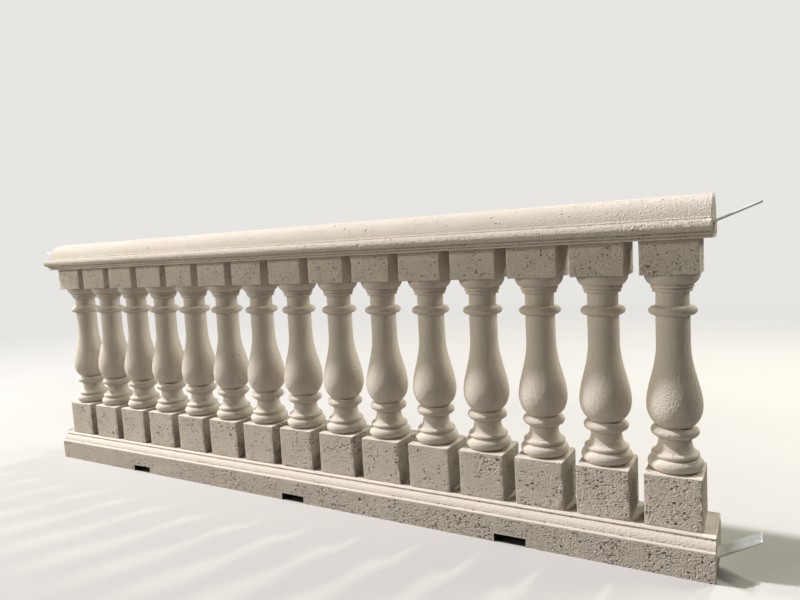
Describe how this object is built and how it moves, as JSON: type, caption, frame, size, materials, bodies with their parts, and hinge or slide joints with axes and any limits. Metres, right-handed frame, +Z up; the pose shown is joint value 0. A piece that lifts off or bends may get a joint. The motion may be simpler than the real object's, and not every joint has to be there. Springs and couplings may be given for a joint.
{
  "type": "stone balustrade",
  "caption": "Straight run of stone balustrade: moulded bottom rail, turned balusters with square block ends, round-topped cap rail, steel fixing straps at both ends.",
  "frame": {"origin": "on the floor under the middle of the run", "axes": "+X along the run to the right, +Y through its thickness to the back, +Z up"},
  "size_m": [3.1118, 0.251, 1.04],
  "materials": {
    "stone": "matt off-white cast stone with a fine grain and open pits",
    "steel_strap": "dull galvanised flat bar"
  },
  "bodies": {
    "root": {"bottom_rail": "stone", "cap_rail": "stone", "baluster_01": "stone", "baluster_02": "stone", "baluster_03": "stone", "baluster_04": "stone", "baluster_05": "stone", "baluster_06": "stone", "baluster_07": "stone", "baluster_08": "stone", "baluster_09": "stone", "baluster_10": "stone", "baluster_11": "stone", "baluster_12": "stone", "baluster_13": "stone", "baluster_14": "stone", "baluster_15": "stone", "low_strap_left": "steel_strap", "low_strap_right": "steel_strap", "top_strap_left": "steel_strap", "top_strap_right": "steel_strap"}
  },
  "joints": []
}
